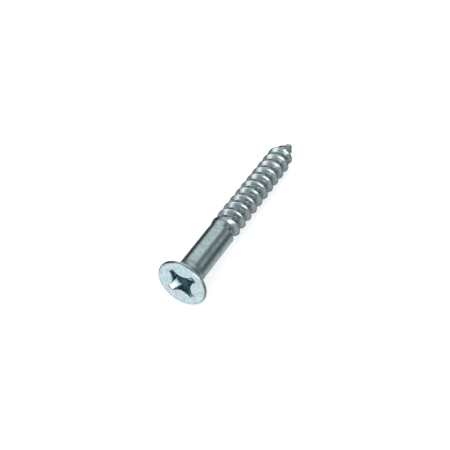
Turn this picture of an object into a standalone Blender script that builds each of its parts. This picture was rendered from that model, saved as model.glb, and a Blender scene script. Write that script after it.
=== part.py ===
"""Wood screw, 4 x 35 mm: countersunk head with a cross recess, plain shank, coarse thread, gimlet point.

The screw is one piece of steel. Its axis is the Y axis: the centre of the flat head face is the origin,
the head face looks along -Y and the point is at +Y. Angles go round +Y from +Z towards +X.
"""

import math

import bmesh
import bpy

MM = 0.001

# Overall sizes
LENGTH = 35.0 * MM
SHANK_RADIUS = 2.0 * MM

# Head: a thin cylindrical land, then a 90 degree cone that runs into the shank through a fillet
HEAD_RADIUS = 3.75 * MM
HEAD_EDGE_ROUND = 0.30 * MM
HEAD_LAND = 0.39 * MM
HEAD_CONE_HALF_ANGLE = math.radians(45.0)
NECK_FILLET = 1.2 * MM

# Cross recess: four wings round a tapered middle hole, with a concave arc between each two wings.
# The wings' floors come in steeply and get steeper, until they run out into the hole's wall.
RECESS_TURN = math.radians(49.0)
RECESS_WING_REACH = 2.58 * MM
RECESS_WAIST_RADIUS = 1.35 * MM
RECESS_ARC_CENTRE = 3.21 * MM
RECESS_DEPTH = 2.2 * MM
RECESS_CONE_DEPTH = 0.5 * MM
RECESS_DRAFT = math.tan(math.radians(4.0))
RECESS_EDGE_CHAMFER = 0.08 * MM
WING_FLOOR_SLOPE = math.tan(math.radians(58.0))
WING_FLOOR_HOLLOW = 0.34 / MM
CUTTER_SKIRT = 0.02 * MM
CUTTER_OVERSHOOT = 0.3 * MM

# Thread: right-hand, one start
PITCH = 1.85 * MM
CREST_RADIUS = 2.16 * MM
CREST_RADIUS_AT_POINT = 2.06 * MM
CORE_RADIUS = 1.30 * MM
CREST_AT_ZERO_ANGLE = 12.85 * MM
CREST_SHARE = 0.05
TIP_FLANK_SHARE = 0.11
HEAD_FLANK_SHARE = 0.22
THREAD_START = 10.7 * MM
CREST_RISE_END = 12.9 * MM
FIRST_GROOVE_TURN = -1.3
GROOVE_RUN_IN_TURNS = 0.55
GROOVE_RUN_OUT = 1.1 * MM

# Point: the crests and the core taper to a small rounded tip
TIP_RADIUS = 0.36 * MM
CREST_CONE_SLOPE = 0.47
CORE_CONE_SLOPE = 0.30

# Facets
SIDES = 48
RIM_STEPS = 3
FILLET_STEPS = 4
RECESS_COLUMNS = 32
WING_SECTIONS = 4
SMOOTH_ANGLE = math.radians(40.0)

ZINC_BLUE = (0.62, 0.68, 0.71, 1.0)
ZINC_ROUGHNESS = 0.28


def clear_scene():
    for obj in list(bpy.data.objects):
        bpy.data.objects.remove(obj, do_unlink=True)


def zinc_material():
    """Bright zinc plating with a blue passivation."""
    material = bpy.data.materials.new("bright_zinc")
    material.use_nodes = True
    shader = material.node_tree.nodes["Principled BSDF"]
    shader.inputs["Base Color"].default_value = ZINC_BLUE
    shader.inputs["Metallic"].default_value = 1.0
    shader.inputs["Roughness"].default_value = ZINC_ROUGHNESS
    return material


def smooth_step(share):
    share = min(1.0, max(0.0, share))
    return share * share * (3.0 - 2.0 * share)


def head_profile():
    """(radius, y) down the outside of the head, from the edge of its flat face to the shank."""
    corner_y = HEAD_LAND + (HEAD_RADIUS - SHANK_RADIUS) / math.tan(HEAD_CONE_HALF_ANGLE)
    fillet_end_y = corner_y + NECK_FILLET * math.tan(HEAD_CONE_HALF_ANGLE / 2)
    profile = []
    for step in range(RIM_STEPS + 1):
        turn = math.pi / 2 * step / RIM_STEPS
        radius = HEAD_RADIUS - HEAD_EDGE_ROUND * (1 - math.sin(turn))
        profile.append((radius, HEAD_EDGE_ROUND * (1 - math.cos(turn))))
    profile.append((HEAD_RADIUS, HEAD_LAND))
    for step in range(FILLET_STEPS + 1):
        angle = HEAD_CONE_HALF_ANGLE * (1 - step / FILLET_STEPS)
        radius = SHANK_RADIUS + NECK_FILLET * (1 - math.cos(angle))
        profile.append((radius, fillet_end_y - NECK_FILLET * math.sin(angle)))
    profile.append((SHANK_RADIUS, THREAD_START))
    return profile


def tip_limit(y, slope):
    """Radius that the point allows at y: a cone with a small round end."""
    left = LENGTH - y
    end = min(1.0, left / TIP_RADIUS)
    return TIP_RADIUS * math.sqrt(1 - (1 - end) ** 2) + left * slope


def crest_radius(y):
    """Radius of the thread's crest: it rises out of the shank, tapers a little, then follows the point."""
    rise = smooth_step((y - THREAD_START) / (CREST_RISE_END - THREAD_START))
    taper = (y - THREAD_START) / (LENGTH - THREAD_START)
    full = CREST_RADIUS + (CREST_RADIUS_AT_POINT - CREST_RADIUS) * taper
    body = SHANK_RADIUS + (full - SHANK_RADIUS) * rise
    return min(body, tip_limit(y, CREST_CONE_SLOPE))


def core_radius(y):
    return min(CORE_RADIUS, tip_limit(y, CORE_CONE_SLOPE))


def groove_depth_share(turn, y):
    """How far the groove is rolled in, from 0 to 1: it starts gradually and fades out at the tip."""
    run_in = smooth_step((turn - FIRST_GROOVE_TURN) / GROOVE_RUN_IN_TURNS)
    return run_in * smooth_step((LENGTH - y) / GROOVE_RUN_OUT)


def pitch_stations():
    """Places across one pitch, from crest to crest, with the share of the groove's depth at each."""
    crest_edge = CREST_SHARE / 2
    tip_flank_foot = crest_edge + TIP_FLANK_SHARE
    head_flank_foot = 1 - crest_edge - HEAD_FLANK_SHARE
    return [(crest_edge, 0.0), (tip_flank_foot, 1.0), (head_flank_foot, 1.0), (1 - crest_edge, 0.0)]


def add_ring(bm, radius, y):
    ring = []
    for side in range(SIDES):
        angle = 2 * math.pi * side / SIDES
        ring.append(bm.verts.new((radius * math.sin(angle), y, radius * math.cos(angle))))
    return ring


def bridge_rings(bm, lower, upper):
    for place in range(len(lower)):
        following = (place + 1) % len(lower)
        bm.faces.new((lower[place], lower[following], upper[following], upper[place]))


def add_thread(bm, start_ring):
    """The threaded length, as one strip of faces wound along the helix from the shank to the tip.

    Column `side` of the strip holds points along the line at that angle, one for each station of each
    turn. The strip passes from the last column to the first one turn further on. Points before the
    thread's start are those of start_ring, and points past the tip are the tip.
    """
    stations = pitch_stations()
    first_turn = math.floor((THREAD_START - CREST_AT_ZERO_ANGLE) / PITCH) - 1
    last_turn = math.ceil((LENGTH - CREST_AT_ZERO_ANGLE) / PITCH) + 1
    tip = bm.verts.new((0.0, LENGTH, 0.0))
    columns = []
    for side in range(SIDES):
        angle = 2 * math.pi * side / SIDES
        column = []
        for turn in range(first_turn, last_turn + 1):
            turns = turn + side / SIDES
            for share, depth in stations:
                y = CREST_AT_ZERO_ANGLE + PITCH * (turns + share)
                if y <= THREAD_START:
                    column.append(start_ring[side])
                    continue
                if y >= LENGTH:
                    column.append(tip)
                    continue
                depth_here = depth * groove_depth_share(turns, y)
                radius = crest_radius(y) + (core_radius(y) - crest_radius(y)) * depth_here
                column.append(bm.verts.new((radius * math.sin(angle), y, radius * math.cos(angle))))
        columns.append(column)
    for side in range(SIDES):
        here = columns[side]
        if side + 1 < SIDES:
            following = columns[side + 1]
        else:
            following = columns[0][len(stations):] + [tip] * len(stations)
        for row in range(len(here) - 1):
            corners = [here[row], following[row], following[row + 1], here[row + 1]]
            corners = list(dict.fromkeys(corners))
            if len(corners) > 2:
                bm.faces.new(corners)


def make_screw_blank(material):
    """The screw without its recess: rings down the head and the shank, then the thread."""
    bm = bmesh.new()
    rings = [add_ring(bm, radius, y) for radius, y in head_profile()]
    bm.faces.new(rings[0])
    for lower, upper in zip(rings, rings[1:]):
        bridge_rings(bm, lower, upper)
    add_thread(bm, rings[-1])
    bmesh.ops.recalc_face_normals(bm, faces=bm.faces)
    mesh = bpy.data.meshes.new("screw")
    bm.to_mesh(mesh)
    bm.free()
    mesh.materials.append(material)
    mesh.shade_smooth()
    mesh.set_sharp_from_angle(angle=SMOOTH_ANGLE)
    screw = bpy.data.objects.new("screw", mesh)
    bpy.context.scene.collection.objects.link(screw)
    return screw


def recess_waist_and_wing(depth, outset=0.0):
    """Radius of the recess's waist and reach of its wings at a depth, both moved out by outset."""
    waist = RECESS_WAIST_RADIUS - depth * RECESS_DRAFT + outset
    wing = RECESS_WING_REACH - depth * (WING_FLOOR_SLOPE - depth * WING_FLOOR_HOLLOW) + outset
    return waist, wing


def wing_end_depth(waist_share):
    """The depth at which the wings' floors come in to a share of the middle hole's radius."""
    slope = WING_FLOOR_SLOPE - RECESS_DRAFT * waist_share
    drop = RECESS_WING_REACH - RECESS_WAIST_RADIUS * waist_share
    return (slope - math.sqrt(slope**2 - 4 * WING_FLOOR_HOLLOW * drop)) / (2 * WING_FLOOR_HOLLOW)


def recess_radius(swing, depth, outset=0.0):
    """The recess's radius at a depth and at an angle from the nearest wing's middle line.

    A section is four straight wing ends, cut by the arcs between the wings, joined with the round hole
    in the middle.
    """
    waist, wing = recess_waist_and_wing(depth, outset)
    from_arc_middle = math.pi / 4 - swing
    arc_radius = RECESS_ARC_CENTRE - waist
    beside = RECESS_ARC_CENTRE * math.sin(from_arc_middle)
    limit = wing / math.cos(swing)
    if beside < arc_radius:
        to_arc = RECESS_ARC_CENTRE * math.cos(from_arc_middle) - math.sqrt(arc_radius**2 - beside**2)
        limit = min(limit, to_arc)
    return max(waist, limit)


def recess_swings(depth, outset=0.0):
    """Angles from a wing's middle: the middle itself, the wing's corner, then along half an arc."""
    waist, wing = recess_waist_and_wing(depth, outset)
    arc_radius = RECESS_ARC_CENTRE - waist
    arc_place = RECESS_ARC_CENTRE / math.sqrt(2)
    across = arc_place - math.sqrt(arc_radius**2 - (wing - arc_place) ** 2)
    corner_turn = math.atan2(arc_place - wing, arc_place - across)
    steps = RECESS_COLUMNS // 8 - 1
    swings = [0.0]
    for step in range(steps + 1):
        turn = corner_turn + (math.pi / 4 - corner_turn) * step / steps
        x = arc_place - arc_radius * math.sin(turn)
        z = arc_place - arc_radius * math.cos(turn)
        swings.append(math.atan2(z, x))
    return swings


def recess_section(half_swings, depth, outset=0.0):
    """Points round the recess at a depth, from the angles of an eighth of its columns."""
    quarter = half_swings + [math.pi / 2 - swing for swing in half_swings[-2:0:-1]]
    points = []
    for column in range(RECESS_COLUMNS):
        wing, place = divmod(column, len(quarter))
        swing = quarter[place]
        radius = recess_radius(min(swing, math.pi / 2 - swing), depth, outset)
        angle = RECESS_TURN + wing * math.pi / 2 + swing
        points.append((radius * math.sin(angle), depth, radius * math.cos(angle)))
    return points


def recess_sections():
    """Sections from above the head's face, through the chamfered mouth, down to the bottom's edge."""
    floor_end = wing_end_depth(1.0)
    hole_start = wing_end_depth(math.sqrt(0.5))
    above = -CUTTER_SKIRT
    spread = RECESS_EDGE_CHAMFER + CUTTER_SKIRT
    skirt = recess_section(recess_swings(above, spread), above, spread)
    sections = [[(x, -CUTTER_OVERSHOOT, z) for x, _, z in skirt], skirt]
    for step in range(WING_SECTIONS):
        depth = RECESS_EDGE_CHAMFER + (floor_end - RECESS_EDGE_CHAMFER) * step / WING_SECTIONS
        sections.append(recess_section(recess_swings(depth), depth))
    low_swings = recess_swings(floor_end)
    for depth in (floor_end, (floor_end + hole_start) / 2, hole_start, RECESS_DEPTH):
        sections.append(recess_section(low_swings, depth))
    return sections


def make_recess_cutter():
    """The recess's sections, lofted and closed by a shallow cone at the bottom."""
    bm = bmesh.new()
    sections = [[bm.verts.new(point) for point in section] for section in recess_sections()]
    bm.faces.new(sections[0])
    for upper, lower in zip(sections, sections[1:]):
        bridge_rings(bm, upper, lower)
    bottom = bm.verts.new((0.0, RECESS_DEPTH + RECESS_CONE_DEPTH, 0.0))
    last = sections[-1]
    for place in range(len(last)):
        bm.faces.new((last[place], last[(place + 1) % len(last)], bottom))
    bmesh.ops.recalc_face_normals(bm, faces=bm.faces)
    mesh = bpy.data.meshes.new("recess_cutter")
    bm.to_mesh(mesh)
    bm.free()
    cutter = bpy.data.objects.new("recess_cutter", mesh)
    bpy.context.scene.collection.objects.link(cutter)
    cutter.hide_render = True
    cutter.display_type = "WIRE"
    return cutter


def cut_recess(screw, cutter):
    cut = screw.modifiers.new("cross_recess", "BOOLEAN")
    cut.operation = "DIFFERENCE"
    cut.solver = "EXACT"
    cut.object = cutter


def main():
    clear_scene()
    screw = make_screw_blank(zinc_material())
    cut_recess(screw, make_recess_cutter())


main()
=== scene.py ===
"""Looks of a 4 x 35 mm countersunk wood screw in bright blue-passivated zinc.

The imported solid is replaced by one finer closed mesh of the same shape: rolled thread with rounded
crests and filleted roots, rounded rim, and a punched cross recess with rounded edges. The screw's axis
is the Y axis, the head's face is at y = 0 and looks along -Y, and the point is at y = 35 mm. Angles go
round +Y from +Z towards +X.
"""

import math

import bmesh
import bpy
from mathutils import Matrix, Vector, noise


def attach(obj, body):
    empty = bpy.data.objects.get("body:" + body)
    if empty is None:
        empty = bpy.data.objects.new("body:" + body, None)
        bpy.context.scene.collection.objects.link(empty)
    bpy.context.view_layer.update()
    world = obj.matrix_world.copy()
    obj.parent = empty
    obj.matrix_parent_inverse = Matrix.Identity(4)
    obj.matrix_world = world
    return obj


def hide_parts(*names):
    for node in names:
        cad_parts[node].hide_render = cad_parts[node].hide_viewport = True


MM = 0.001

# Overall sizes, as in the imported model
LENGTH = 35.0 * MM
SHANK_RADIUS = 2.0 * MM

# Head
HEAD_RADIUS = 3.75 * MM
HEAD_EDGE_ROUND = 0.30 * MM
HEAD_LAND = 0.39 * MM
HEAD_LAND_ROUND = 0.06 * MM
HEAD_CONE_HALF_ANGLE = math.radians(45.0)
NECK_FILLET = 1.2 * MM

# Cross recess
RECESS_TURN = math.radians(49.0)
RECESS_WING_REACH = 2.58 * MM
RECESS_WAIST_RADIUS = 1.35 * MM
RECESS_ARC_CENTRE = 3.21 * MM
RECESS_DEPTH = 2.2 * MM
RECESS_CONE_DEPTH = 0.5 * MM
RECESS_EDGE_ROUND = 0.15 * MM
RECESS_DRAFT = math.tan(math.radians(4.0))
WING_FLOOR_SLOPE = math.tan(math.radians(58.0))
WING_FLOOR_HOLLOW = 0.34 / MM

# Thread
PITCH = 1.85 * MM
CREST_RADIUS = 2.16 * MM
CREST_RADIUS_AT_POINT = 2.06 * MM
CORE_RADIUS = 1.30 * MM
CREST_AT_ZERO_ANGLE = 12.85 * MM
CREST_SHARE = 0.05
TIP_FLANK_SHARE = 0.11
HEAD_FLANK_SHARE = 0.22
CREST_BLEND = 0.03
ROOT_BLEND = 0.06
THREAD_START = 10.7 * MM
CREST_RISE_END = 12.9 * MM
FIRST_GROOVE_TURN = -1.3
GROOVE_RUN_IN_TURNS = 0.55
GROOVE_RUN_OUT = 1.1 * MM

# Point
TIP_RADIUS = 0.36 * MM
CREST_CONE_SLOPE = 0.47
CORE_CONE_SLOPE = 0.30

# Fineness of the mesh
COLUMNS = 160
WING_COLUMNS = 10
ROWS_PER_PITCH = 24
FACE_STEPS = 6
RIM_STEPS = 6
LAND_STEPS = 3
CONE_STEPS = 6
FILLET_STEPS = 10
SHANK_STEPS = 16
HOLE_WALL_STEPS = 5
ARC_END_STEPS = 8
WING_FLOOR_STEPS = 12
RECESS_EDGE_STEPS = 4
BOTTOM_SHARES = (0.12, 0.35, 0.6, 0.82, 0.95)
BOTTOM_CONE_POWER = 1.5
SMOOTH_ANGLE = math.radians(38.0)

# Unevenness of the rolled thread: long waves, with dents that are finer and shallower
ROLLING_UNEVENNESS = 0.015 * MM
WAVES_ROUND = 2.2
WAVES_PER_TURN = 1.3
DENTS_FINER = 2.7
DENTS_SHARE = 0.7
CREST_UNEVENNESS = 0.4


def smooth_step(share):
    share = min(1.0, max(0.0, share))
    return share * share * (3.0 - 2.0 * share)


def soft_corner(distance, blend):
    """max(0, distance) with its corner at 0 rounded over a width of blend to each side."""
    if distance <= -blend:
        return 0.0
    if distance >= blend:
        return distance
    return (distance + blend) ** 2 / (4 * blend)


# ---------------------------------------------------------------- shape of the screw


def column_angle(column):
    return RECESS_TURN + 2 * math.pi * column / COLUMNS


def on_axis_ring(radius, y):
    angles = [column_angle(column) for column in range(COLUMNS)]
    return [(radius * math.sin(angle), y, radius * math.cos(angle)) for angle in angles]


def recess_waist_and_wing(depth, outset=0.0):
    """Radius of the recess's waist and reach of its wings at a depth, both moved out by outset."""
    waist = RECESS_WAIST_RADIUS - depth * RECESS_DRAFT + outset
    wing = RECESS_WING_REACH - depth * (WING_FLOOR_SLOPE - depth * WING_FLOOR_HOLLOW) + outset
    return waist, wing


def recess_radius(swing, depth, outset=0.0):
    """The recess's radius at a depth and at an angle from the nearest wing's middle line.

    A section is four straight wing ends, cut by the arcs between the wings, joined with the round hole
    in the middle. outset moves all of it out into the metal.
    """
    waist, wing = recess_waist_and_wing(depth, outset)
    from_arc_middle = math.pi / 4 - swing
    arc_radius = RECESS_ARC_CENTRE - waist
    beside = RECESS_ARC_CENTRE * math.sin(from_arc_middle)
    limit = wing / math.cos(swing)
    if beside < arc_radius:
        to_arc = RECESS_ARC_CENTRE * math.cos(from_arc_middle) - math.sqrt(arc_radius**2 - beside**2)
        limit = min(limit, to_arc)
    return max(waist, limit)


def wing_end_depth(waist_share):
    """The depth at which the wings' floors come in to a share of the middle hole's radius."""
    slope = WING_FLOOR_SLOPE - RECESS_DRAFT * waist_share
    drop = RECESS_WING_REACH - RECESS_WAIST_RADIUS * waist_share
    return (slope - math.sqrt(slope**2 - 4 * WING_FLOOR_HOLLOW * drop)) / (2 * WING_FLOOR_HOLLOW)


def wing_corner(depth, outset=0.0):
    """The point where a wing's end meets the arc beside it, as (along, across) the wing."""
    waist, wing = recess_waist_and_wing(depth, outset)
    arc_radius = RECESS_ARC_CENTRE - waist
    arc_place = RECESS_ARC_CENTRE / math.sqrt(2)
    return wing, arc_place - math.sqrt(arc_radius**2 - (wing - arc_place) ** 2)


def recess_swings(depth, outset=0.0):
    """Angles of the columns from a wing's middle to the middle of the arc beside it."""
    along, across = wing_corner(depth, outset)
    waist, _ = recess_waist_and_wing(depth, outset)
    arc_radius = RECESS_ARC_CENTRE - waist
    arc_place = RECESS_ARC_CENTRE / math.sqrt(2)
    half_wing = WING_COLUMNS // 2
    half_arc = COLUMNS // 8 - half_wing
    swings = [math.atan2(across * place / half_wing, along) for place in range(half_wing)]
    corner_turn = math.atan2(arc_place - along, arc_place - across)
    for place in range(half_arc + 1):
        turn = corner_turn + (math.pi / 4 - corner_turn) * place / half_arc
        x = arc_place - arc_radius * math.sin(turn)
        z = arc_place - arc_radius * math.cos(turn)
        swings.append(math.atan2(z, x))
    return swings


def recess_ring(half_swings, depth, outset=0.0):
    """One section of the recess, from the angles of an eighth of its columns."""
    quarter = half_swings + [math.pi / 2 - swing for swing in half_swings[-2:0:-1]]
    ring = []
    for column in range(COLUMNS):
        wing, place = divmod(column, len(quarter))
        swing = quarter[place]
        radius = recess_radius(min(swing, math.pi / 2 - swing), depth, outset)
        angle = RECESS_TURN + wing * math.pi / 2 + swing
        ring.append((radius * math.sin(angle), depth, radius * math.cos(angle)))
    return ring


def steps_between(start, end, steps):
    """Values from start up to, but not including, end."""
    return [start + (end - start) * step / steps for step in range(steps)]


def recess_rings():
    """Rings from the bottom of the recess up its walls and over its rounded edge to the face."""
    floor_end = wing_end_depth(1.0)
    arc_end = wing_end_depth(math.sqrt(0.5))
    low_swings = recess_swings(floor_end)
    bottom_edge = recess_ring(low_swings, RECESS_DEPTH)
    rings = []
    for share in BOTTOM_SHARES:
        depth = RECESS_DEPTH + RECESS_CONE_DEPTH * (1 - share**BOTTOM_CONE_POWER)
        rings.append([(x * share, depth, z * share) for x, _, z in bottom_edge])
    for depth in steps_between(RECESS_DEPTH, arc_end, HOLE_WALL_STEPS):
        rings.append(recess_ring(low_swings, depth))
    for depth in steps_between(arc_end, floor_end, ARC_END_STEPS):
        rings.append(recess_ring(low_swings, depth))
    for depth in steps_between(floor_end, RECESS_EDGE_ROUND, WING_FLOOR_STEPS):
        rings.append(recess_ring(recess_swings(depth), depth))
    for step in range(RECESS_EDGE_STEPS + 1):
        turn = math.pi / 2 * step / RECESS_EDGE_STEPS
        depth = RECESS_EDGE_ROUND * (1 - math.sin(turn))
        outset = RECESS_EDGE_ROUND * (1 - math.cos(turn))
        rings.append(recess_ring(recess_swings(depth, outset), depth, outset))
    return rings


def face_rings(inner):
    """Rings across the flat face, from the recess's edge to the rim's rounding."""
    outer = on_axis_ring(HEAD_RADIUS - HEAD_EDGE_ROUND, 0.0)
    rings = []
    for step in range(1, FACE_STEPS):
        share = step / FACE_STEPS
        rings.append([tuple(Vector(a).lerp(Vector(b), share)) for a, b in zip(inner, outer)])
    return rings


def outside_profile():
    """(radius, y) down the outside, from the edge of the face to the start of the thread."""
    corner_y = HEAD_LAND + (HEAD_RADIUS - SHANK_RADIUS) / math.tan(HEAD_CONE_HALF_ANGLE)
    fillet_end_y = corner_y + NECK_FILLET * math.tan(HEAD_CONE_HALF_ANGLE / 2)
    profile = []
    for step in range(RIM_STEPS + 1):
        turn = math.pi / 2 * step / RIM_STEPS
        radius = HEAD_RADIUS - HEAD_EDGE_ROUND * (1 - math.sin(turn))
        profile.append((radius, HEAD_EDGE_ROUND * (1 - math.cos(turn))))
    setback = HEAD_LAND_ROUND * math.tan(HEAD_CONE_HALF_ANGLE / 2)
    for step in range(LAND_STEPS + 1):
        turn = HEAD_CONE_HALF_ANGLE * step / LAND_STEPS
        radius = HEAD_RADIUS - HEAD_LAND_ROUND * (1 - math.cos(turn))
        profile.append((radius, HEAD_LAND - setback + HEAD_LAND_ROUND * math.sin(turn)))
    cone_start = profile[-1]
    cone_end_radius = SHANK_RADIUS + NECK_FILLET * (1 - math.cos(HEAD_CONE_HALF_ANGLE))
    cone_end_y = fillet_end_y - NECK_FILLET * math.sin(HEAD_CONE_HALF_ANGLE)
    for step in range(1, CONE_STEPS):
        share = step / CONE_STEPS
        radius = cone_start[0] + (cone_end_radius - cone_start[0]) * share
        profile.append((radius, cone_start[1] + (cone_end_y - cone_start[1]) * share))
    for step in range(FILLET_STEPS + 1):
        turn = HEAD_CONE_HALF_ANGLE * (1 - step / FILLET_STEPS)
        radius = SHANK_RADIUS + NECK_FILLET * (1 - math.cos(turn))
        profile.append((radius, fillet_end_y - NECK_FILLET * math.sin(turn)))
    for step in range(1, SHANK_STEPS + 1):
        profile.append((SHANK_RADIUS, fillet_end_y + (THREAD_START - fillet_end_y) * step / SHANK_STEPS))
    return profile


def tip_limit(y, slope):
    """Radius that the point allows at y: a cone with a small round end."""
    left = LENGTH - y
    end = min(1.0, left / TIP_RADIUS)
    return TIP_RADIUS * math.sqrt(1 - (1 - end) ** 2) + left * slope


def crest_radius(y):
    """Radius of the thread's crest: it rises out of the shank, tapers a little, then follows the point."""
    rise = smooth_step((y - THREAD_START) / (CREST_RISE_END - THREAD_START))
    taper = (y - THREAD_START) / (LENGTH - THREAD_START)
    full = CREST_RADIUS + (CREST_RADIUS_AT_POINT - CREST_RADIUS) * taper
    body = SHANK_RADIUS + (full - SHANK_RADIUS) * rise
    return min(body, tip_limit(y, CREST_CONE_SLOPE))


def core_radius(y):
    return min(CORE_RADIUS, tip_limit(y, CORE_CONE_SLOPE))


def groove_depth(share):
    """Depth of the groove, from 0 at a crest to 1 on the core, at a share of the way across one pitch."""
    flank = TIP_FLANK_SHARE if share < 0.5 else HEAD_FLANK_SHARE
    from_crest = min(share, 1 - share) - CREST_SHARE / 2
    rising = soft_corner(from_crest, CREST_BLEND)
    over = soft_corner(from_crest - flank, ROOT_BLEND)
    return (rising - over) / flank


def groove_depth_share(turn, y):
    """How far the groove is rolled in, from 0 to 1: it starts gradually and fades out at the tip."""
    run_in = smooth_step((turn - FIRST_GROOVE_TURN) / GROOVE_RUN_IN_TURNS)
    return run_in * smooth_step((LENGTH - y) / GROOVE_RUN_OUT)


def unevenness(angle, turns, depth):
    """Slight unevenness left by the thread rolling, so that no two turns are quite the same."""
    place = Vector((WAVES_ROUND * math.cos(angle), WAVES_ROUND * math.sin(angle), WAVES_PER_TURN * turns))
    dents = DENTS_SHARE * noise.noise(place * DENTS_FINER)
    strength = CREST_UNEVENNESS + (1 - CREST_UNEVENNESS) * depth
    return ROLLING_UNEVENNESS * (noise.noise(place) + dents) * strength


def add_thread(bm, start_ring):
    """The threaded length, as one strip of faces wound along the helix from the shank to the tip."""
    first_turn = math.floor((THREAD_START - CREST_AT_ZERO_ANGLE) / PITCH) - 2
    last_turn = math.ceil((LENGTH - CREST_AT_ZERO_ANGLE) / PITCH) + 1
    shares = [row / ROWS_PER_PITCH for row in range(ROWS_PER_PITCH)]
    tip = bm.verts.new((0.0, LENGTH, 0.0))
    columns = []
    for column in range(COLUMNS):
        angle = column_angle(column)
        points = []
        for turn in range(first_turn, last_turn + 1):
            turns = turn + angle / (2 * math.pi)
            for share in shares:
                y = CREST_AT_ZERO_ANGLE + PITCH * (turns + share)
                if y <= THREAD_START:
                    points.append(start_ring[column])
                    continue
                if y >= LENGTH:
                    points.append(tip)
                    continue
                depth = groove_depth(share) * groove_depth_share(turns, y)
                radius = crest_radius(y) + (core_radius(y) - crest_radius(y)) * depth
                worked = smooth_step((y - THREAD_START) / PITCH) * smooth_step((LENGTH - y) / PITCH)
                radius += unevenness(angle, turns + share, depth) * worked
                points.append(bm.verts.new((radius * math.sin(angle), y, radius * math.cos(angle))))
        columns.append(points)
    for column in range(COLUMNS):
        here = columns[column]
        if column + 1 < COLUMNS:
            following = columns[column + 1]
        else:
            following = columns[0][ROWS_PER_PITCH:] + [tip] * ROWS_PER_PITCH
        for row in range(len(here) - 1):
            corners = [here[row], following[row], following[row + 1], here[row + 1]]
            corners = list(dict.fromkeys(corners))
            if len(corners) > 2:
                bm.faces.new(corners)


def make_screw():
    """The whole screw as one closed mesh: rings over the recess, face, head and shank, then the thread."""
    rings = recess_rings()
    rings += face_rings(rings[-1])
    rings += [on_axis_ring(radius, y) for radius, y in outside_profile()]
    bm = bmesh.new()
    built = [[bm.verts.new(point) for point in ring] for ring in rings]
    bottom = bm.verts.new((0.0, RECESS_DEPTH + RECESS_CONE_DEPTH, 0.0))
    for column in range(COLUMNS):
        bm.faces.new((bottom, built[0][(column + 1) % COLUMNS], built[0][column]))
    for lower, upper in zip(built, built[1:]):
        for column in range(COLUMNS):
            following = (column + 1) % COLUMNS
            bm.faces.new((lower[column], lower[following], upper[following], upper[column]))
    add_thread(bm, built[-1])
    bmesh.ops.recalc_face_normals(bm, faces=bm.faces)
    mesh = bpy.data.meshes.new("screw_body")
    bm.to_mesh(mesh)
    bm.free()
    mesh.shade_smooth()
    mesh.set_sharp_from_angle(angle=SMOOTH_ANGLE)
    screw = bpy.data.objects.new("screw_body", mesh)
    bpy.context.scene.collection.objects.link(screw)
    return screw


# ---------------------------------------------------------------- materials


class Graph:
    """Adds nodes to a node tree, with their settings, values and links in one call each."""

    def __init__(self, tree):
        self.tree = tree
        tree.nodes.clear()

    def add(self, kind, inputs=None, **settings):
        node = self.tree.nodes.new(kind)
        for name, value in settings.items():
            setattr(node, name, value)
        for name, value in (inputs or {}).items():
            if isinstance(value, bpy.types.NodeSocket):
                self.tree.links.new(value, node.inputs[name])
            else:
                node.inputs[name].default_value = value
        return node

    def math(self, operation, *values):
        """A math node's result."""
        node = self.add("ShaderNodeMath", dict(enumerate(values)), operation=operation)
        return node.outputs[0]

    def fit(self, value, low, high):
        """0 at low, 1 at high, with a soft step in between."""
        node = self.add(
            "ShaderNodeMapRange",
            {"Value": value, "From Min": low, "From Max": high},
            interpolation_type="SMOOTHSTEP",
        )
        return node.outputs["Result"]

    def mix(self, share, low, high):
        """A colour between low and high."""
        node = self.add("ShaderNodeMix", data_type="RGBA")
        for place, value in ((0, share), (6, low), (7, high)):
            if isinstance(value, bpy.types.NodeSocket):
                self.tree.links.new(value, node.inputs[place])
            else:
                node.inputs[place].default_value = value
        return node.outputs[2]

    def noise(self, place, scale, detail=2.0, roughness=0.5):
        """Noise between 0 and 1, mostly near 0.5."""
        node = self.add(
            "ShaderNodeTexNoise",
            {"Vector": place, "Scale": scale, "Detail": detail, "Roughness": roughness},
        )
        return node.outputs["Fac"]


ZINC_PALE = (0.47, 0.585, 0.605, 1.0)
ZINC_DEEP = (0.33, 0.45, 0.48, 1.0)
ZINC_VIOLET = (0.45, 0.47, 0.53, 1.0)
# Dark teal for the recess: painted shade, with a teal tint
ZINC_RECESS_TEAL_SHADE = (0.22, 0.36, 0.41, 1.0)
ZINC_ROLLED = (0.44, 0.49, 0.50, 1.0)
ZINC_SHADED = (0.21, 0.25, 0.26, 1.0)
VIOLET_SHARE = 0.55
# How strongly the recess's painted shade and teal tint cover the metal
RECESS_TEAL_SHADE_SHARE = 0.75
ROLLED_SHARE = 0.45
SHADED_SHARE = 0.35

# Where the tints and the painted shade in the recess and the thread roots set in and are full, in
# millimetres from the face or from the axis
RECESS_TEAL_SHADE_DEPTHS = (0.35, 0.95)
RECESS_TEAL_SHADE_ENDS = (3.2, 2.9)
RECESS_TEAL_SHADE_RADII = (2.3, 1.9)
ROLLED_DEPTHS = (11.0, 13.5)
ROOT_RADII = (1.75, 1.35)
CREST_RADII = (1.95, 2.12)

# Roughness: the smoothest plating, and what each kind of mark adds to it
ZINC_ROUGHNESS = 0.15
SPECKLE_ROUGHNESS = 0.10
DRAWN_ROUGHNESS = 0.10
RECESS_ROUGHNESS = 0.12
CREST_POLISH = 0.02

GRAIN_HEIGHT = 0.004 * MM
MARK_HEIGHT = 0.005 * MM
WAVE_HEIGHT = 0.012 * MM
DRAWN_STRETCH = 0.12


def add_bump(graph, height, distance, below=None):
    """The surface normal after a bump, laid over another one if there is one below."""
    inputs = {"Strength": 1.0, "Distance": distance, "Height": height}
    if below is not None:
        inputs["Normal"] = below
    return graph.add("ShaderNodeBump", inputs).outputs[0]


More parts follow.
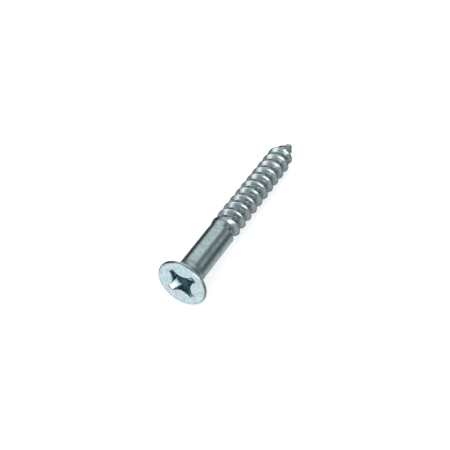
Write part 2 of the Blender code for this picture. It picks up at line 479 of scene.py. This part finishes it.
def zinc_roughness(graph, speckle, drawn, on_crest, in_recess):
    """Rougher where it is speckled or drawn and in the recess, and a little smoother on the crests."""
    speckled = graph.math("MULTIPLY", graph.fit(speckle, 0.35, 0.7), SPECKLE_ROUGHNESS)
    scored = graph.math("MULTIPLY", graph.fit(drawn, 0.45, 0.75), DRAWN_ROUGHNESS)
    roughness = graph.math("ADD", ZINC_ROUGHNESS, speckled)
    roughness = graph.math("ADD", roughness, scored)
    roughness = graph.math("SUBTRACT", roughness, graph.math("MULTIPLY", on_crest, CREST_POLISH))
    return graph.math("ADD", roughness, graph.math("MULTIPLY", in_recess, RECESS_ROUGHNESS))


def zinc_material():
    """Bright zinc with a blue passivation: cool mottled metal, faint violet drifts, fine marks, and painted
    shade in the recess and the thread roots.
    """
    material = bpy.data.materials.new("zinc_blue_passivated")
    material.use_nodes = True
    graph = Graph(material.node_tree)
    place = graph.add("ShaderNodeTexCoord").outputs["Object"]
    in_mm = graph.add("ShaderNodeVectorMath", {0: place, "Scale": 1 / MM}, operation="SCALE").outputs[0]
    x, depth, z = graph.add("ShaderNodeSeparateXYZ", {0: in_mm}).outputs
    across = graph.math("ADD", graph.math("POWER", x, 2.0), graph.math("POWER", z, 2.0))
    radius = graph.math("SQRT", across)
    stretch = (1.0, DRAWN_STRETCH, 1.0)
    stretched = graph.add("ShaderNodeMapping", {"Vector": in_mm, "Scale": stretch}).outputs[0]

    mottle = graph.noise(in_mm, 1.7, 3.0, 0.6)
    drift = graph.noise(in_mm, 0.42, 2.0)
    speckle = graph.noise(in_mm, 5.5, 2.0, 0.6)
    drawn = graph.noise(stretched, 5.0, 3.0, 0.6)

    below_face = graph.fit(depth, *RECESS_TEAL_SHADE_DEPTHS)
    above_bottom = graph.fit(depth, *RECESS_TEAL_SHADE_ENDS)
    in_recess = graph.math("MULTIPLY", below_face, graph.fit(radius, *RECESS_TEAL_SHADE_RADII))
    in_recess = graph.math("MULTIPLY", in_recess, above_bottom)
    on_thread = graph.fit(depth, *ROLLED_DEPTHS)
    in_root = graph.math("MULTIPLY", on_thread, graph.fit(radius, *ROOT_RADII))
    on_crest = graph.fit(radius, *CREST_RADII)

    drifted = graph.math("MULTIPLY", graph.fit(drift, 0.5, 0.68), VIOLET_SHARE)
    tint = graph.mix(graph.fit(mottle, 0.35, 0.68), ZINC_PALE, ZINC_DEEP)
    tint = graph.mix(drifted, tint, ZINC_VIOLET)
    # Painted shade in the recess, darker and more teal than the face
    tint = graph.mix(graph.math("MULTIPLY", in_recess, RECESS_TEAL_SHADE_SHARE), tint, ZINC_RECESS_TEAL_SHADE)
    tint = graph.mix(graph.math("MULTIPLY", on_thread, ROLLED_SHARE), tint, ZINC_ROLLED)
    tint = graph.mix(graph.math("MULTIPLY", in_root, SHADED_SHARE), tint, ZINC_SHADED)

    normal = add_bump(graph, speckle, GRAIN_HEIGHT)
    normal = add_bump(graph, drawn, MARK_HEIGHT, normal)
    normal = add_bump(graph, mottle, WAVE_HEIGHT, normal)
    shader = graph.add("ShaderNodeBsdfPrincipled", {
        "Base Color": tint,
        "Metallic": 1.0,
        "Roughness": zinc_roughness(graph, speckle, drawn, on_crest, in_recess),
        "Normal": normal,
    })
    graph.add("ShaderNodeOutputMaterial", {"Surface": shader.outputs[0]})
    return material


PAPER_SHADED = (0.88, 0.88, 0.88, 1.0)
PAPER_PALE = (0.92, 0.92, 0.92, 1.0)
PAPER_FIBRES = 900.0
PAPER_BUMP = 0.02 * MM
PAPER_GLOW = 0.4
WHITE = (1.0, 1.0, 1.0, 1.0)


def floor_material():
    """White paper on a light table."""
    material = bpy.data.materials.new("white_paper")
    material.use_nodes = True
    graph = Graph(material.node_tree)
    place = graph.add("ShaderNodeTexCoord").outputs["Object"]
    fibres = graph.noise(place, PAPER_FIBRES, 3.0, 0.6)
    tint = graph.mix(graph.fit(fibres, 0.3, 0.7), PAPER_SHADED, PAPER_PALE)
    bump = graph.add("ShaderNodeBump", {"Strength": 0.2, "Distance": PAPER_BUMP, "Height": fibres})
    shader = graph.add("ShaderNodeBsdfPrincipled", {
        "Base Color": tint,
        "Roughness": 0.9,
        "Normal": bump.outputs[0],
        "Emission Color": WHITE,
        "Emission Strength": PAPER_GLOW,
    })
    graph.add("ShaderNodeOutputMaterial", {"Surface": shader.outputs[0]})
    return material


# ---------------------------------------------------------------- studio

# What the metal reflects: (azimuth from +Y towards +X, elevation, full out to, gone by, brightness),
# all angles in degrees
STUDIO = [
    (-152, -42, 24, 42, 1.31),    # white table in front
    (-28, 47, 26, 37, 0.93),      # pale ceiling, behind on the left
    (180, 34, 18, 34, 0.75),      # pale wall in front
    (140, -42, 16, 30, 0.62),     # shade under the table's right edge
    (118, -30, 7, 15, 0.12),      # dark gap at its end
    (33, 38, 6, 14, 0.28),        # dark gap beside the ceiling
    (46, 20, 5, 12, 0.52),        # pale post behind on the right
    (49, -3, 8, 15, 0.14),        # dark gap behind on the right
    (28, -43, 13, 26, 0.65),      # table behind on the right
    (-52, -4, 10, 20, 0.06),      # dark flag behind on the left
    (-94, 20, 18, 28, 0.04),      # dark flag on the left
    (-10, 14, 8, 24, 1.10),       # bright table behind
    (-165, -24, 8, 13, 2.60),     # edge of the table in front
    (-149, 18, 10, 18, 1.90),     # soft light, front left
    (153, 4, 13, 19, 3.00),       # key light, front right
    (84, 8, 3, 7, 1.80),          # strip light on the right, in three lengths
    (85, 30, 3, 7, 1.90),
    (86, 52, 3, 7, 1.80),
]
STUDIO_BASE = 0.36
BACKDROP_BRIGHTNESS = 1.05


def studio_world():
    """An even white backdrop that lights the scene, and a painted studio that only reflections see."""
    world = bpy.data.worlds.new("studio")
    world.use_nodes = True
    world.cycles.sampling_method = "NONE"
    graph = Graph(world.node_tree)
    direction = graph.add("ShaderNodeTexCoord").outputs["Generated"]
    direction = graph.add("ShaderNodeVectorMath", {0: direction}, operation="NORMALIZE").outputs[0]
    seen = STUDIO_BASE
    for azimuth, elevation, full, gone, brightness in STUDIO:
        turn, rise = math.radians(azimuth), math.radians(elevation)
        centre = (math.sin(turn) * math.cos(rise), math.cos(turn) * math.cos(rise), math.sin(rise))
        along = graph.add("ShaderNodeVectorMath", {0: direction, 1: centre}, operation="DOT_PRODUCT")
        share = graph.fit(along.outputs["Value"], math.cos(math.radians(gone)), math.cos(math.radians(full)))
        seen = graph.add("ShaderNodeMix", {0: share, 2: seen, 3: brightness}, data_type="FLOAT").outputs[0]
    path = graph.add("ShaderNodeLightPath")
    choice = {0: path.outputs["Is Glossy Ray"], 2: BACKDROP_BRIGHTNESS, 3: seen}
    strength = graph.add("ShaderNodeMix", choice, data_type="FLOAT").outputs[0]
    background = graph.add("ShaderNodeBackground", {"Color": WHITE, "Strength": strength})
    graph.add("ShaderNodeOutputWorld", {"Surface": background.outputs[0]})
    bpy.context.scene.world = world


# The screw lies on its rim and on one of its last full crests, so the table slopes against its axis.
# Contacts are (y, z).
CONTACT_TURNS = 9.5
RIM_CONTACT = (0.36 * MM, -HEAD_RADIUS)
TABLE_SIZE = 2.0
TABLE_CELLS = 8
TABLE_GAP = 0.002 * MM


def make_table():
    contact_y = CREST_AT_ZERO_ANGLE + PITCH * CONTACT_TURNS
    rise = -crest_radius(contact_y) - RIM_CONTACT[1]
    slope = math.atan2(rise, contact_y - RIM_CONTACT[0])
    bm = bmesh.new()
    bmesh.ops.create_grid(bm, x_segments=TABLE_CELLS, y_segments=TABLE_CELLS, size=TABLE_SIZE / 2)
    mesh = bpy.data.meshes.new("floor")
    bm.to_mesh(mesh)
    bm.free()
    mesh.materials.append(floor_material())
    table = bpy.data.objects.new("floor", mesh)
    table.rotation_euler = (slope, 0.0, 0.0)
    table.location = (0.0, RIM_CONTACT[0], RIM_CONTACT[1] - TABLE_GAP)
    table.visible_glossy = False
    bpy.context.scene.collection.objects.link(table)


# Camera: where it stands round the screw, and the origin's place in the camera's own axes
CAMERA_AZIMUTH = math.radians(27.9)
CAMERA_ELEVATION = math.radians(42.35)
ORIGIN_RIGHT = -5.94 * MM
ORIGIN_UP = -8.035 * MM
ORIGIN_AHEAD = 125.33 * MM
SENSOR_WIDTH_MM = 36.0
FOCAL_LENGTH_MM = 73.79
CLIP_RANGE = (1.0 * MM, 20.0)


def make_camera():
    back = Vector((
        math.cos(CAMERA_ELEVATION) * math.sin(CAMERA_AZIMUTH),
        -math.cos(CAMERA_ELEVATION) * math.cos(CAMERA_AZIMUTH),
        math.sin(CAMERA_ELEVATION),
    ))
    right = Vector((math.cos(CAMERA_AZIMUTH), math.sin(CAMERA_AZIMUTH), 0.0))
    up = back.cross(right)
    centre = -ORIGIN_RIGHT * right - ORIGIN_UP * up + ORIGIN_AHEAD * back
    data = bpy.data.cameras.new("camera")
    data.sensor_width = SENSOR_WIDTH_MM
    data.lens = FOCAL_LENGTH_MM
    data.clip_start, data.clip_end = CLIP_RANGE
    camera = bpy.data.objects.new("camera", data)
    axes = Matrix((right, up, back)).transposed().to_4x4()
    camera.matrix_world = Matrix.Translation(centre) @ axes
    bpy.context.scene.collection.objects.link(camera)
    bpy.context.scene.camera = camera


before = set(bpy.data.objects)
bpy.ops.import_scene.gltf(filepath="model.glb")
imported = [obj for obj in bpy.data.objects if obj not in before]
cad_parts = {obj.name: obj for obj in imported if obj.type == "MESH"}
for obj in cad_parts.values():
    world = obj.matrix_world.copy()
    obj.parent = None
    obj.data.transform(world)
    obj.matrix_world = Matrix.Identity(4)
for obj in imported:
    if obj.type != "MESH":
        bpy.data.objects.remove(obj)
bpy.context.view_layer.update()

screw = make_screw()
screw.data.materials.append(zinc_material())
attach(screw, "root")
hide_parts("screw")

bpy.context.scene.view_settings.view_transform = "Standard"
studio_world()
make_table()
make_camera()
